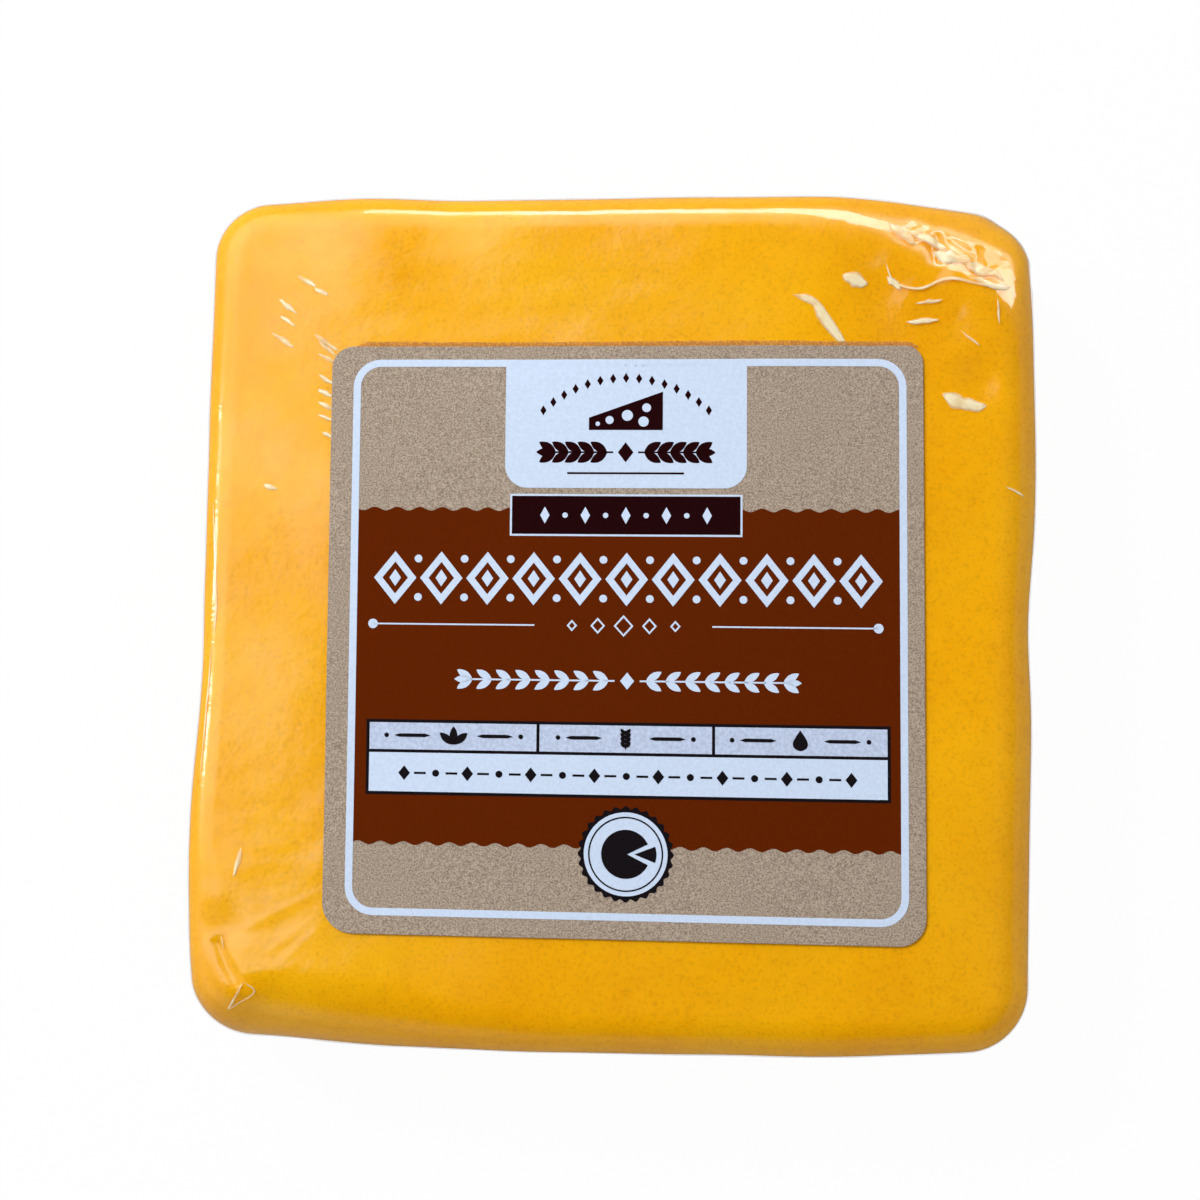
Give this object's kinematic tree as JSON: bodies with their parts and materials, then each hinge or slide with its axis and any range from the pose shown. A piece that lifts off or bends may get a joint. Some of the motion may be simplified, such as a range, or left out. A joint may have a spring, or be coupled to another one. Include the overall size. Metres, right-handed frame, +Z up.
{
  "type": "cheddar block",
  "caption": "Square block of orange cheddar sealed tightly in clear film, with soft rounded edges, slightly uneven sides and a square paper label on its top face.",
  "frame": {"origin": "middle of the underside, where the block rests", "axes": "+X to the label's right edge, +Y to the label's top edge, +Z up out of the labelled face"},
  "size_m": [0.11, 0.112, 0.0262],
  "materials": {
    "wrapped_cheese": "orange cheddar under tight clear film, glossy with fine creases",
    "label": "matt printed kraft paper"
  },
  "bodies": {
    "root": {"wrapped_cheese": "wrapped_cheese", "label": "label"}
  },
  "joints": []
}
